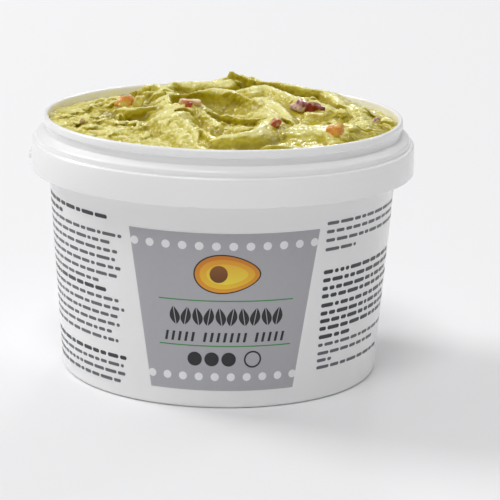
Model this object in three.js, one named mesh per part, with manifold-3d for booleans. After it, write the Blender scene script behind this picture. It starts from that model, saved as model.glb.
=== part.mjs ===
// An open, round tub of guacamole: a white moulded polypropylene tub with a snap-lid collar,
// filled to its rim and heaped, the top left in spooned swirls with one standing peak.
// Millimetres, +Z up, origin on the floor under the tub's axis, the front faces -Y.

import * as THREE from 'three';
import { mergeVertices } from 'three/addons/utils/BufferGeometryUtils.js';
import Module from 'manifold-3d';

// Driving dimensions of the tub
const tubHeight = 76;
const collarRadius = 56.5;
const baseRadius = 47.05;
const wallLean = Math.tan(THREE.MathUtils.degToRad(4.1));
const wallThickness = 1.0;
const floorThickness = 1.0;
const footHeight = 1.2;
const footWidth = 2.9;
const footCorner = 1.3;
const beadWidth = 1.5;
const beadHeight = 2.3;
const neckHeight = 4.6;
const ledgeDrop = 0.7;
const shoulderRadius = 0.9;
const lipTop = 68.7;
const lipCorner = 0.55;
const lipWidth = 1.3;
const skirtBottom = 60.4;
const skirtThickness = 1.0;
const skirtFlare = 0.15;
const lugLength = 3.2;
const lugHeight = 1.8;
const lugReach = 0.85;
const lugCentreHeight = 62.7;
const tubSegments = 72;

// Driving dimensions of the filling
const fillGap = 0.3;
const fillRings = 33;
const domeRise = 2.9;
const edgeBelowRim = 1.9;
const edgeTilt = 0.9;
const strokeFall = 3;
const settleWidth = 3;
const peakLimit = 8;

const outerRadius = (height) => baseRadius + height * wallLean;
const innerRadius = (height) => outerRadius(height) - wallThickness;

// Points on a round corner in the profile, from one angle to another in degrees
function corner(radius, height, bend, fromAngle, toAngle, steps) {
  const points = [];
  for (let i = 0; i <= steps; i += 1) {
    const angle = THREE.MathUtils.degToRad(fromAngle + ((toAngle - fromAngle) * i) / steps);
    points.push([radius + bend * Math.cos(angle), height + bend * Math.sin(angle)]);
  }
  return points;
}

// The tub's section from the middle of its underside, up the outside and down the inside
function tubProfile() {
  const footOuter = outerRadius(0);
  const neckFoot = tubHeight - neckHeight;
  const shoulder = collarRadius - lipWidth - shoulderRadius;
  const shoulderHeight = neckFoot - ledgeDrop - shoulderRadius;
  const beadMiddle = innerRadius(tubHeight) + beadWidth / 2;
  const beadBend = beadWidth / 2;
  const underLip = lipTop - skirtThickness;
  const skirtOuter = collarRadius + skirtFlare;
  const insideFloor = footHeight + floorThickness;
  return [
    [0, footHeight],
    [footOuter - footWidth - footHeight, footHeight],
    [footOuter - footWidth, 0],
    ...corner(footOuter - footCorner, footCorner, footCorner, -90, 0, 3),
    [outerRadius(underLip - 0.8), underLip - 0.8],
    [outerRadius(underLip) + 0.8, underLip],
    [collarRadius - skirtThickness, underLip],
    [skirtOuter - skirtThickness, skirtBottom],
    [skirtOuter, skirtBottom],
    ...corner(collarRadius - lipCorner, lipTop - lipCorner, lipCorner, 0, 90, 3),
    [collarRadius - lipWidth, lipTop],
    ...corner(shoulder, shoulderHeight, shoulderRadius, 0, 75, 3),
    [outerRadius(neckFoot) + 0.3, neckFoot - 0.15],
    [outerRadius(neckFoot), neckFoot + 0.3],
    [outerRadius(tubHeight - beadHeight), tubHeight - beadHeight],
    [beadMiddle + beadBend - 0.15, tubHeight - beadHeight + 0.15],
    ...corner(beadMiddle, tubHeight - beadBend, beadBend, 0, 180, 6),
    [innerRadius(insideFloor + 1.5), insideFloor + 1.5],
    [innerRadius(insideFloor) - 0.5, insideFloor + 0.4],
    [innerRadius(insideFloor) - 1.5, insideFloor],
    [0, insideFloor],
  ];
}

// A shape of revolution about the upright axis
function revolve(profile, segments) {
  const points = profile.map(([radius, height]) => new THREE.Vector2(radius, height));
  const geometry = new THREE.LatheGeometry(points, segments);
  geometry.rotateX(Math.PI / 2);
  return geometry;
}

// The opening lug that stands out of the collar's skirt at the left
function lug() {
  const rooted = 0.5;
  const geometry = new THREE.BoxGeometry(lugReach + rooted, lugLength, lugHeight);
  geometry.translate(-collarRadius - lugReach / 2 + rooted / 2, 0, lugCentreHeight);
  return geometry;
}

// A smooth highest and lowest of two heights, rounded over a small difference
function smoothHigher(a, b, blend) {
  const share = Math.min(Math.max(0.5 + (0.5 * (a - b)) / blend, 0), 1);
  return b * (1 - share) + a * share + blend * share * (1 - share);
}
const smoothLower = (a, b, blend) => -smoothHigher(-a, -b, blend);

// The strokes of the spoon. Each runs through points of x, y and height above the rim.
// A raised stroke falls away to both sides of its line and a scooped one rises to both,
// by strokeFall over the left or right reach, straight for power 1 and round for power 2.
// A reach of two numbers goes from the first, where the stroke starts, to the second.
function stroke(kind, route, left, right, power, blend) {
  const points = route.map(([x, y, height]) => new THREE.Vector3(x, y, height));
  const curve = new THREE.CatmullRomCurve3(points, false, 'catmullrom', 0.5);
  return { kind, line: curve.getPoints(8 * (route.length - 1)), left, right, power, blend };
}
const raise = (route, left, right, power, blend) => stroke(1, route, left, right, power, blend);
const scoop = (route, left, right, power, blend) => stroke(-1, route, left, right, power, blend);
const reachAt = (reach, share) => (
  Array.isArray(reach) ? reach[0] + share * (reach[1] - reach[0]) : reach
);

const backHeap = [
  raise([[-26.5, 29.5, 1.2], [-24, 26, 3.6], [-21.5, 23.5, 4.4], [-18, 14.5, 4.4]], 7, 1.6, 1.5, 0.4),
  raise([[-19, 12.5, 4.4], [-17, 17, 5], [-15, 21, 5.4], [-12.5, 21, 5.2]], 3.5, 3, 1.6, 0.4),
  raise([[-12.5, 22, 4.8], [-10, 24, 5.2], [-6, 25.5, 5], [1, 25.5, 5.5]], 8, 4.5, 1.8, 0.5),
  raise([[1, 27, 6], [8, 28, 6.2], [12.5, 25, 5.6], [18, 23.5, 5.4], [24.5, 20, 4.9],
    [30, 18, 4.2], [33, 11, 3.4], [35, 6.5, 2.6], [40, 4, 1.4]], 8, 2.4, 1.4, 0.4),
];
const peak = [
  raise([[1.7, 28, 8.6], [3, 28, 7.9], [5.5, 27.5, 7], [8.5, 25.5, 6.2]], [1, 3], [0.9, 2.2], 1.2, 0.2),
];
const rightRidges = [
  scoop([[7, 21, 2.6], [14, 19, 2.6], [22, 13, 2.2], [29, 7, 1.6]], 3, 3, 2, 0.4),
  raise([[3.5, 15, 4.9], [7, 16, 5.2], [11.5, 19.5, 5.5], [14.5, 17, 5.4], [18.5, 11, 5],
    [22.5, 5.5, 4.6], [26, 5.5, 4.4], [30, -1.5, 3.8], [33, -5, 3], [36, -9, 1.8]],
    4, [9, 4], 1.4, 0.3),
  raise([[36.5, 16.5, 1.8], [39, 1.5, 1.6], [40, -11.5, 1.2], [41.5, -19, 0.6]], 6, 7, 1.8, 0.6),
];
const leftValley = [
  raise([[-20, 4, 2.4], [-16, -4, 3], [-14, -9, 3.6]], 4, 4, 1.8, 0.5),
  scoop([[-25, 9, -1.2], [-21, 6, -1]], 3.5, 3.5, 2, 0.4),
  raise([[-24, 18.5, 2.8], [-21.5, 15, 3.4], [-19, 13.5, 4], [-17.5, 13.5, 4.6]], 5, 1.6, 1.3, 0.3),
  raise([[-37.5, 18.5, 0.2], [-35, 18, 0.6], [-32.5, 12, 1.2], [-29.5, 3, 2]], 4, 4, 1.6, 0.5),
  scoop([[-28, -9, -3], [-24, -11, -3], [-20, -11, -1.5]], 5, 5, 2, 0.4),
  raise([[-31, 0, 1.4], [-29.5, -2.5, 2], [-27, -5, 2.4], [-24, -5, 2.4], [-20, -1.5, 2.2]],
    4, 2.6, 1.8, 0.4),
  raise([[-28.5, 1, 1.8], [-25, 1, 2.2], [-21.5, 1, 2]], 3, 3, 1.8, 0.4),
];
const mound = [
  raise([[-10.5, -14, 6.3], [-13, -24, 4.3], [-11, -35, 2.5], [-7, -44, 0.6]], 7, 7.5, 1.7, 0.6),
  raise([[-10.5, -13.5, 6.4], [-13, -13.5, 6.1], [-15, -15, 5.4], [-18, -20.5, 3.8],
    [-21, -23.5, 2.4], [-25, -27, 1]], [5, 12], 1.6, 1.5, 0.4),
  scoop([[-13.5, -20.5, 3.5], [-11.5, -20.5, 3.1], [-9.5, -21.5, 3], [-7.5, -23, 2.8]],
    1.5, 1.5, 2, 0.2),
];
const crater = [
  raise([[-15, 0.5, 4.6], [-15, 2.5, 5.6], [-13, 3, 5.8], [-10.5, 4.5, 6], [-5.5, 6, 6.2],
    [-2.5, 8, 6.2], [1, 6.5, 6.1], [3.5, 3.5, 5.8], [6, -1, 5.3], [8.5, -5, 4.6]], 6, [2, 4], 1.5, 0.3),
  raise([[8, -6, 4.4], [12, -12, 3.8], [15, -19, 3.2]], 5, 7, 1.8, 0.5),
  raise([[6.5, -4.5, 4.8], [9.5, 1, 5], [11.5, 3.5, 5], [14, 1, 4.8], [16.5, -5, 4.2],
    [18.5, -13, 3.4], [19.5, -18, 2.6]], 3.4, 9, 1.4, 0.4),
  scoop([[-9, 0, -1], [-4, -2, -1], [1, -4, -0.6], [6, -8, 1], [11, -11, 3]], 6.4, 6, 2.8, 0.2),
];
const innerLips = [
  raise([[-8, -15, 5.4], [-5.5, -17.5, 4.2], [-1.5, -17, 3.6], [2.5, -20, 3.4], [6, -22, 3.3],
    [10, -22, 3.2], [12.5, -21, 3.3]], 2.6, 2, 1.4, 0.3),
  scoop([[-3, -22, 1.6], [2, -26, 1], [7, -27.5, 1]], 3.5, 3, 2, 0.3),
  raise([[-9, -16.5, 5.8], [-7, -19.5, 5], [-4.5, -23.5, 4], [-2, -27.5, 3.4], [0.5, -30.5, 3.1],
    [4.5, -33, 2.9], [8, -33, 2.8], [11, -30.5, 3]], 3, [2.5, 5.5], 1.4, 0.3),
  scoop([[-2, -38, 0.3], [3, -40, 0.3], [8, -37, 0.7]], 3, 3, 2, 0.3),
  raise([[12.5, -23.5, 3.8], [15, -24.5, 3.8], [16.5, -31, 3], [17, -36, 1.8]], 2.4, 4, 1.5, 0.4),
];
const frontFold = [
  raise([[-4, -45, 0.5], [-2.5, -45.5, 1.8], [-0.5, -46, 2.7], [3, -46, 3.3], [6, -44, 3.6],
    [8.5, -41, 3.8], [11.8, -32, 4.2], [14, -26, 4.2]], 3, [3.6, 6], 1.7, 0.3),
  raise([[-12, -28.5, 4], [-10.5, -29.5, 3.9], [-9, -33.5, 3.4], [-7.5, -37.5, 2.5],
    [-7, -42.5, 1.2]], 1.5, 6, 1.3, 0.2),
  raise([[-7.5, -37.5, 3], [-6, -37, 2.9], [-5, -39.5, 2.4], [-4, -43, 1.7], [-3, -45, 0.8]],
    1.4, 2.4, 1.3, 0.2),
];
const rightSlope = [
  raise([[19, -30.5, 2.4], [23, -27.5, 2.8], [28, -26, 2.6], [32, -21.5, 2.4]], 2.6, 9.5, 1.6, 0.4),
  scoop([[18, -20, 0.8], [18.5, -25, 0.4]], 1.9, 1.9, 2, 0.3),
  raise([[17.5, -32, 1.6], [19.5, -33, 1.8], [20.3, -29, 2.4], [19.8, -23, 3]], 1.3, 1.6, 1.5, 0.3),
  raise([[10.5, -49, -0.1], [12.5, -48, 0.9], [15, -47.5, 1.2], [18.5, -46.5, 0.6],
    [21, -46, -0.2]], 3, 3, 1.5, 0.3),
];
const leftPlate = [
  raise([[-32, -26, 0.2], [-28, -24, 0.5], [-24, -27.5, 0.9]], 6, 6, 1.6, 0.5),
  raise([[-33.5, -15, 0], [-32, -7.5, 1], [-31, -6.5, 1.4]], 3, 3, 1.3, 0.4),
  scoop([[-37, 0, -3.5], [-35, -4, -3.5], [-33, -9, -2]], 3.5, 3.5, 2, 0.3),
  raise([[-48, -4, -1.2], [-45, 3, -0.4], [-41.5, 5, 0.2], [-39, 6.5, 0.3], [-37.5, 4, -0.4],
    [-35, -6, -0.6], [-33.5, -14, -0.2]], 2.5, 9, 1.5, 0.3),
];
// In the order in which they were laid, from the back to the front
const strokes = [
  ...backHeap, ...peak, ...rightRidges, ...leftValley, ...mound, ...crater, ...innerLips,
  ...frontFold, ...rightSlope, ...leftPlate,
];

// The closest point of a stroke's line: how far, on which side, the line's height there, and
// the share of the line that lies before it
function nearest(line, x, y) {
  let found = { distance: Infinity, side: 1, height: 0, share: 0 };
  let run = 0;
  for (let i = 0; i + 1 < line.length; i += 1) {
    const from = line[i];
    const runX = line[i + 1].x - from.x;
    const runY = line[i + 1].y - from.y;
    const length = Math.hypot(runX, runY);
    const along = ((x - from.x) * runX + (y - from.y) * runY) / length ** 2;
    const part = Math.min(Math.max(along, 0), 1);
    const offX = x - from.x - part * runX;
    const offY = y - from.y - part * runY;
    const distance = Math.hypot(offX, offY);
    if (distance < found.distance) {
      const height = from.z + part * (line[i + 1].z - from.z);
      found = { distance, side: Math.sign(runX * offY - runY * offX), height, share: run + part * length };
    }
    run += length;
  }
  return { ...found, share: found.share / run };
}

// The height of the dip above the rim at a point: a low dome, lowest at the back where the
// wall shows, with the strokes laid on it in turn, all settling towards the wall, and the
// peak's tip cut off level
function surfaceHeight(x, y, wallRadius) {
  const radius = Math.hypot(x, y);
  const towardsFront = radius > 0 ? -y / radius : 0;
  const edge = -edgeBelowRim + edgeTilt * towardsFront;
  const share = (radius / wallRadius) ** 2;
  let height = (domeRise - edgeBelowRim + 0.5) * (1 - share) + edge * share;
  for (const { kind, line, left, right, power, blend } of strokes) {
    const at = nearest(line, x, y);
    const reach = reachAt(at.side > 0 ? left : right, at.share);
    const fall = strokeFall * (at.distance / reach) ** power;
    height = kind > 0
      ? smoothHigher(height, at.height - fall, blend)
      : smoothLower(height, at.height + fall, blend);
  }
  const settle = Math.max(0, (radius - wallRadius + settleWidth) / settleWidth) ** 2;
  return Math.min(height * (1 - settle) + edge * settle, peakLimit);
}

// The filling: one closed solid, its top on rings of 6, 12, 18 ... points, its side just clear
// of the tub's wall, and its bottom just clear of the tub's floor
function filling() {
  const positions = [];
  const triangles = [];
  const wallRadius = innerRadius(tubHeight - edgeBelowRim) - fillGap;
  const firstOfRing = (ring) => (ring === 0 ? 0 : 1 + 3 * ring * (ring - 1));
  for (let ring = 0; ring <= fillRings; ring += 1) {
    const count = Math.max(6 * ring, 1);
    for (let i = 0; i < count; i += 1) {
      const angle = (2 * Math.PI * i) / count;
      const radius = (wallRadius * ring) / fillRings;
      const x = radius * Math.cos(angle);
      const y = radius * Math.sin(angle);
      positions.push(x, y, tubHeight + surfaceHeight(x, y, wallRadius));
    }
  }
  for (let ring = 1; ring <= fillRings; ring += 1) {
    const outer = (i) => firstOfRing(ring) + (i % (6 * ring));
    const inner = (i) => firstOfRing(ring - 1) + (ring === 1 ? 0 : i % (6 * (ring - 1)));
    for (let sector = 0; sector < 6; sector += 1) {
      for (let i = 0; i < ring; i += 1) {
        const out = sector * ring + i;
        const inn = sector * (ring - 1) + i;
        triangles.push(inner(inn), outer(out), outer(out + 1));
        if (i + 1 < ring) {
          triangles.push(inner(inn), outer(out + 1), inner(inn + 1));
        }
      }
    }
  }
  const bottom = footHeight + floorThickness + fillGap;
  const lowerRings = [
    [innerRadius(bottom + 1.6) - fillGap, bottom + 1.6],
    [innerRadius(bottom) - 1.7, bottom],
  ];
  const count = 6 * fillRings;
  let above = firstOfRing(fillRings);
  for (const [radius, height] of lowerRings) {
    const start = positions.length / 3;
    for (let i = 0; i < count; i += 1) {
      const angle = (2 * Math.PI * i) / count;
      positions.push(radius * Math.cos(angle), radius * Math.sin(angle), height);
    }
    for (let i = 0; i < count; i += 1) {
      const next = (i + 1) % count;
      triangles.push(above + i, start + i, start + next);
      triangles.push(above + i, start + next, above + next);
    }
    above = start;
  }
  const middle = positions.length / 3;
  positions.push(0, 0, bottom);
  for (let i = 0; i < count; i += 1) {
    triangles.push(above + i, middle, above + ((i + 1) % count));
  }
  const geometry = new THREE.BufferGeometry();
  geometry.setAttribute('position', new THREE.Float32BufferAttribute(positions, 3));
  geometry.setIndex(triangles);
  return geometry;
}

// Pieces of pepper, onion and avocado that stand a little out of the dip:
// place, height of the middle above the rim, length, width, thickness, turn in degrees
const bits = [
  [-29.2, 2, 3, 4.6, 3.6, 3.4, 20],
  [-25.2, 1, 2.9, 2.7, 2.6, 3.6, 0],
  [-10, -15, 6.1, 5.8, 3, 2, 5],
  [14.6, -31.5, 3.1, 2.8, 3.2, 2.8, 0],
  [24.9, -0.5, 2.9, 8.6, 3.8, 3.4, -20],
  [26.5, -10, 1.2, 6, 3.6, 2.8, 0],
  [32, -29.5, 1.8, 5.2, 3.6, 4, -30],
];

function bit([x, y, height, length, width, thickness, turn]) {
  const geometry = new THREE.IcosahedronGeometry(0.5, 1);
  geometry.scale(length, width, thickness);
  geometry.rotateZ(THREE.MathUtils.degToRad(turn));
  geometry.translate(x, y, tubHeight + height);
  return geometry;
}

const wasm = await Module();
wasm.setup();

function toSolid(geometry) {
  const bare = geometry.clone();
  bare.deleteAttribute('normal');
  bare.deleteAttribute('uv');
  const merged = mergeVertices(bare);
  return new wasm.Manifold(new wasm.Mesh({
    numProp: 3,
    vertProperties: new Float32Array(merged.attributes.position.array),
    triVerts: new Uint32Array(merged.index.array),
  }));
}

function toGeometry(solid) {
  const mesh = solid.getMesh();
  const geometry = new THREE.BufferGeometry();
  geometry.setAttribute('position', new THREE.BufferAttribute(new Float32Array(mesh.vertProperties), 3));
  geometry.setIndex(new THREE.BufferAttribute(new Uint32Array(mesh.triVerts), 1));
  geometry.computeVertexNormals();
  return geometry;
}

const polypropylene = new THREE.MeshStandardMaterial({ color: 0xf1f1f2, roughness: 0.35, metalness: 0 });
const avocado = new THREE.MeshStandardMaterial({ color: 0xb9b63c, roughness: 0.4, metalness: 0 });

const tub = new THREE.Mesh(
  toGeometry(toSolid(revolve(tubProfile(), tubSegments)).add(toSolid(lug()))),
  polypropylene,
);
tub.name = 'tub';

const guacamole = new THREE.Mesh(
  toGeometry(bits.reduce((solid, piece) => solid.add(toSolid(bit(piece))), toSolid(filling()))),
  avocado,
);
guacamole.name = 'guacamole';

const group = new THREE.Group();
group.add(tub, guacamole);

export default group;
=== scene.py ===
import math

import bpy
import numpy as np
from mathutils import Matrix, Vector


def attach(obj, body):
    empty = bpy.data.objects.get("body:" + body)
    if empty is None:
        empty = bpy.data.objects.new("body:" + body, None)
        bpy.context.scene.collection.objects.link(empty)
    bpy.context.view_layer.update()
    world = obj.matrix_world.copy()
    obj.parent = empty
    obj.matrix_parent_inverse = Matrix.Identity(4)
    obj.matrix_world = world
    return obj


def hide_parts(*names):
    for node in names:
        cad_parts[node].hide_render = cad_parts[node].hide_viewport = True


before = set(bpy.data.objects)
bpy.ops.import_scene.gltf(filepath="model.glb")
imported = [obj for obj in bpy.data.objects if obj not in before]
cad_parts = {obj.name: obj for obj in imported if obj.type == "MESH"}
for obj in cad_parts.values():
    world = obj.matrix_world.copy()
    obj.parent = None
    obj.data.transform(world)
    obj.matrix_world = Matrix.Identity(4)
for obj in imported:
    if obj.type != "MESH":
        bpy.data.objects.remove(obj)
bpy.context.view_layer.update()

MM = 0.001


# The camera stands in front of the tub, two thirds of a metre away, and looks down a little.
# It is rolled by about a degree, as a hand-held one is.
image_width_px = 500
focal_length_px = 2250
camera_place = Vector((0, -653.6, 201.6)) * MM
camera_aim = Vector((8.73, 0, 34.62)) * MM
camera_roll = math.radians(1.307)

bpy.ops.object.select_all(action="DESELECT")
bpy.ops.object.camera_add(location=camera_place)
camera = bpy.context.object
camera.name = "camera"
camera.data.sensor_width = 36
camera.data.lens = focal_length_px * camera.data.sensor_width / image_width_px
camera.data.clip_end = 50
camera.rotation_euler = (
    (camera_aim - camera_place).to_track_quat("-Z", "Y").to_matrix()
    @ Matrix.Rotation(camera_roll, 3, "Z")
).to_euler()
bpy.context.scene.camera = camera


# The setting: a wide pale floor, a pale room brighter from above, and soft lamps: the main one
# to the left and a little behind, so that the shadow falls to the right, one high in front that
# shapes the swirls, and two small ones behind that give the wet glints.
def linear(hex_colour):
    """An sRGB hex colour as linear red, green, blue and alpha."""
    channels = [int(hex_colour[i:i + 2], 16) / 255 for i in (1, 3, 5)]
    return [c / 12.92 if c <= 0.04045 else ((c + 0.055) / 1.055) ** 2.4 for c in channels] + [1]


def add_node(material, kind, settings=None, links=None):
    """Adds a shader node, sets its sockets or properties and links its inputs."""
    tree = material.node_tree
    node = tree.nodes.new(kind)
    for key, value in (settings or {}).items():
        if isinstance(key, str) and hasattr(node, key) and key not in node.inputs:
            setattr(node, key, value)
        else:
            node.inputs[key].default_value = value
    for key, source in (links or {}).items():
        tree.links.new(source, node.inputs[key])
    return node


def new_material(name):
    """An empty node material and its surface output."""
    material = bpy.data.materials.new(name)
    material.use_nodes = True
    material.node_tree.nodes.clear()
    return material, material.node_tree.nodes.new("ShaderNodeOutputMaterial")


def set_surface(material, out, settings, links=None):
    """Gives a material its surface, a Principled shader with these settings and links."""
    face = add_node(material, "ShaderNodeBsdfPrincipled", settings, links)
    material.node_tree.links.new(face.outputs[0], out.inputs[0])


# The floor is matt white paper, wide enough to run out of the picture on all sides.
floor_radius = 4.0
floor_colour = "#f0f0f1"
bpy.ops.object.select_all(action="DESELECT")
bpy.ops.mesh.primitive_circle_add(vertices=96, radius=floor_radius, fill_type="NGON")
floor = bpy.context.object
floor.name = "floor"
paper, paper_out = new_material("matt_white_paper")
set_surface(paper, paper_out, {
    "Base Color": linear(floor_colour), "Roughness": 0.9, "Specular IOR Level": 0.0})
floor.data.materials.append(paper)

# The room is a plain pale sky whose light grows towards its brightest side.
room_colour = "#f4f4f5"
room_light = 0.31
room_slope = 0.3
brightest_side = (-0.1, 0.25, 0.96)
world = bpy.data.worlds.new("pale_room")
bpy.context.scene.world = world
world.use_nodes = True
room = world.node_tree.nodes["Background"]
room.inputs["Color"].default_value = linear(room_colour)
direction = add_node(world, "ShaderNodeTexCoord").outputs["Generated"]
towards = add_node(world, "ShaderNodeVectorMath", {"operation": "DOT_PRODUCT", 1: brightest_side},
                   {0: direction})
light = add_node(world, "ShaderNodeMath", {
    "operation": "MULTIPLY_ADD", "use_clamp": True, 1: room_slope, 2: room_light,
}, {0: towards.outputs["Value"]})
world.node_tree.links.new(light.outputs[0], room.inputs["Strength"])


def add_lamp(name, place, size, power):
    """A soft square lamp that faces the tub and that the camera doesn't see."""
    bpy.ops.object.light_add(type="AREA", location=place)
    lamp = bpy.context.object
    lamp.name = name
    lamp.data.shape = "SQUARE"
    lamp.data.size = size
    lamp.data.energy = power
    lamp.rotation_euler = (lamp_aim - Vector(place)).to_track_quat("-Z", "Y").to_euler()
    lamp.visible_camera = False


lamp_aim = Vector((0, 0, 50)) * MM
add_lamp("left_lamp", (-2.16, 1.1, 2.0), 1.1, 38)
add_lamp("back_lamp", (0.3, 2.6, 1.5), 0.45, 9)
add_lamp("right_lamp", (1.6, 1.7, 1.5), 0.35, 3)
add_lamp("top_lamp", (-0.3, -1.15, 2.5), 0.9, 22)
bpy.context.scene.view_settings.view_transform = "Standard"


# The tub: injection-moulded white polypropylene, one piece. Its wall leans out, the base
# stands on a foot ring, and a stepped collar with a hanging skirt takes the snap lid.
tub_height = 76.0
collar_radius = 56.5
base_radius = 47.05
wall_lean = math.tan(math.radians(4.1))
wall_thickness = 1.0
floor_thickness = 1.0
foot_height = 1.2
foot_width = 2.9
foot_corner = 1.3
foot_inner_corner = 0.35
bead_width = 1.5
bead_height = 2.3
neck_height = 4.6
ledge_drop = 0.7
shoulder_radius = 0.9
lip_top = 68.7
lip_corner = 0.55
lip_width = 1.3
skirt_bottom = 60.4
skirt_thickness = 1.0
skirt_flare = 0.15
skirt_corner = 0.25
inside_corner = 1.5
lug_length, lug_height, lug_reach, lug_centre = 3.2, 1.8, 0.85, 62.7
round_steps = 256


def outer_radius(height):
    return base_radius + height * wall_lean


def inner_radius(height):
    return outer_radius(height) - wall_thickness


def corner(radius, height, bend, from_angle, to_angle, steps):
    """Points on a round corner of a section, between two angles in degrees."""
    angles = np.radians(np.linspace(from_angle, to_angle, steps + 1))
    return [(radius + bend * math.cos(a), height + bend * math.sin(a)) for a in angles]


def tub_section():
    """The tub's section from the middle of its underside, up outside and down inside."""
    neck_foot = tub_height - neck_height
    shoulder = collar_radius - lip_width - shoulder_radius
    shoulder_height = neck_foot - ledge_drop - shoulder_radius
    bead_bend = bead_width / 2
    bead_middle = inner_radius(tub_height) + bead_bend
    bead_under = tub_height - bead_height
    under_lip = lip_top - skirt_thickness
    skirt_outer = collar_radius + skirt_flare
    inside_floor = foot_height + floor_thickness
    foot_inner = outer_radius(0) - foot_width
    return [
        (1.0, foot_height), (30.0, foot_height), (foot_inner - foot_height, foot_height),
        *corner(foot_inner, foot_inner_corner, foot_inner_corner, 200, 270, 3),
        *corner(outer_radius(0) - foot_corner, foot_corner, foot_corner, -90, 0, 6),
        (outer_radius(10), 10), (outer_radius(25), 25), (outer_radius(45), 45),
        (outer_radius(under_lip - 0.8), under_lip - 0.8),
        (outer_radius(under_lip) + 0.25, under_lip - 0.25),
        (outer_radius(under_lip) + 0.8, under_lip),
        (collar_radius - skirt_thickness - 0.3, under_lip),
        (collar_radius - skirt_thickness, under_lip - 0.3),
        (skirt_outer - skirt_thickness, skirt_bottom + skirt_corner),
        *corner(skirt_outer - skirt_corner, skirt_bottom + skirt_corner, skirt_corner, -90, 0, 3),
        *corner(collar_radius - lip_corner, lip_top - lip_corner, lip_corner, 0, 90, 6),
        (collar_radius - lip_width + 0.1, lip_top), (collar_radius - lip_width, lip_top + 0.12),
        *corner(shoulder, shoulder_height, shoulder_radius, 0, 78, 6),
        (outer_radius(neck_foot) + 0.35, neck_foot - 0.12),
        (outer_radius(neck_foot) + 0.08, neck_foot + 0.05),
        (outer_radius(neck_foot), neck_foot + 0.35),
        (outer_radius(bead_under) + 0.02, bead_under - 0.2),
        (outer_radius(bead_under) + 0.3, bead_under),
        *corner(bead_middle + bead_bend - 0.3, bead_under + 0.35, 0.3, -60, 0, 3),
        *corner(bead_middle, tub_height - bead_bend, bead_bend, 0, 180, 12),
        (inner_radius(60), 60), (inner_radius(30), 30),
        (inner_radius(inside_floor + inside_corner), inside_floor + inside_corner),
        *corner(inner_radius(inside_floor) - inside_corner, inside_floor + inside_corner,
                inside_corner, -30, -90, 3),
        (30.0, inside_floor), (1.0, inside_floor),
    ]


def new_shape(name):
    """Names the shape that was just added."""
    piece = bpy.context.object
    piece.name = name
    return piece


def revolve(name, section, steps):
    """A closed round piece: a filled ring drawn out and resized along its section."""
    bpy.ops.object.select_all(action="DESELECT")
    (radius, height), rest = section[0], section[1:]
    bpy.ops.mesh.primitive_circle_add(
        vertices=steps, radius=radius * MM, fill_type="NGON", location=(0, 0, height * MM))
    piece = new_shape(name)
    bpy.ops.object.transform_apply(location=True, rotation=True, scale=True)
    bpy.ops.object.mode_set(mode="EDIT")
    bpy.ops.mesh.select_all(action="SELECT")
    for next_radius, next_height in rest:
        rise = (next_height - height) * MM
        grow = next_radius / radius
        bpy.ops.mesh.extrude_region_move(TRANSFORM_OT_translate={"value": (0, 0, rise)})
        bpy.ops.transform.resize(value=(grow, grow, 1), center_override=(0, 0, 0))
        radius, height = next_radius, next_height
    bpy.ops.mesh.select_all(action="SELECT")
    bpy.ops.mesh.normals_make_consistent(inside=False)
    bpy.ops.object.mode_set(mode="OBJECT")
    return piece


def take(*pieces):
    """Selects these pieces alone, the first one as the active one."""
    bpy.ops.object.select_all(action="DESELECT")
    for piece in pieces:
        piece.select_set(True)
    bpy.context.view_layer.objects.active = pieces[0]


def read_places(piece):
    """A mesh's points as rows of x, y and z."""
    places = np.empty(3 * len(piece.data.vertices))
    piece.data.vertices.foreach_get("co", places)
    return places.reshape(-1, 3)


def write_places(piece, places):
    """Moves a mesh's points to these places."""
    piece.data.vertices.foreach_set("co", places.ravel())
    piece.data.update()


tub = revolve("tub_wall_and_collar", tub_section(), round_steps)

# The skirt's lower edge has two shallow notches left by the mould, near the front.
notch_angles = (-8.7, 17.3)
notch_width = 1.6
notch_height = 0.45
places = read_places(tub) / MM
for angle in notch_angles:
    along = (np.arctan2(places[:, 0], -places[:, 1]) - math.radians(angle)) * collar_radius
    at_edge = (np.abs(along) < notch_width / 2) & (places[:, 2] < skirt_bottom + 0.3)
    at_edge &= np.hypot(places[:, 0], places[:, 1]) > collar_radius - skirt_thickness - 0.1
    places[at_edge, 2] += notch_height
write_places(tub, places * MM)

# A small lug to press is moulded on the skirt at the left, its edges rounded.
lug_root = 0.5
lug_edge = 0.3
bpy.ops.object.select_all(action="DESELECT")
bpy.ops.mesh.primitive_cube_add(size=MM)
lug = new_shape("lug")
bpy.ops.object.mode_set(mode="EDIT")
bpy.ops.transform.resize(value=(lug_reach + lug_root, lug_length, lug_height))
bpy.ops.mesh.bevel(offset=lug_edge * MM, segments=3, affect="EDGES")
bpy.ops.transform.translate(
    value=((-collar_radius - lug_reach / 2 + lug_root / 2) * MM, 0, lug_centre * MM))
bpy.ops.object.mode_set(mode="OBJECT")
take(tub, lug)
bpy.ops.object.join()


def noise(material, place, size, detail=2):
    """Soft noise whose blotches are about this many mm apart."""
    node = add_node(material, "ShaderNodeTexNoise", {"Scale": 1 / (size * MM), "Detail": detail},
                    {"Vector": place})
    return node.outputs["Fac"]


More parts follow.
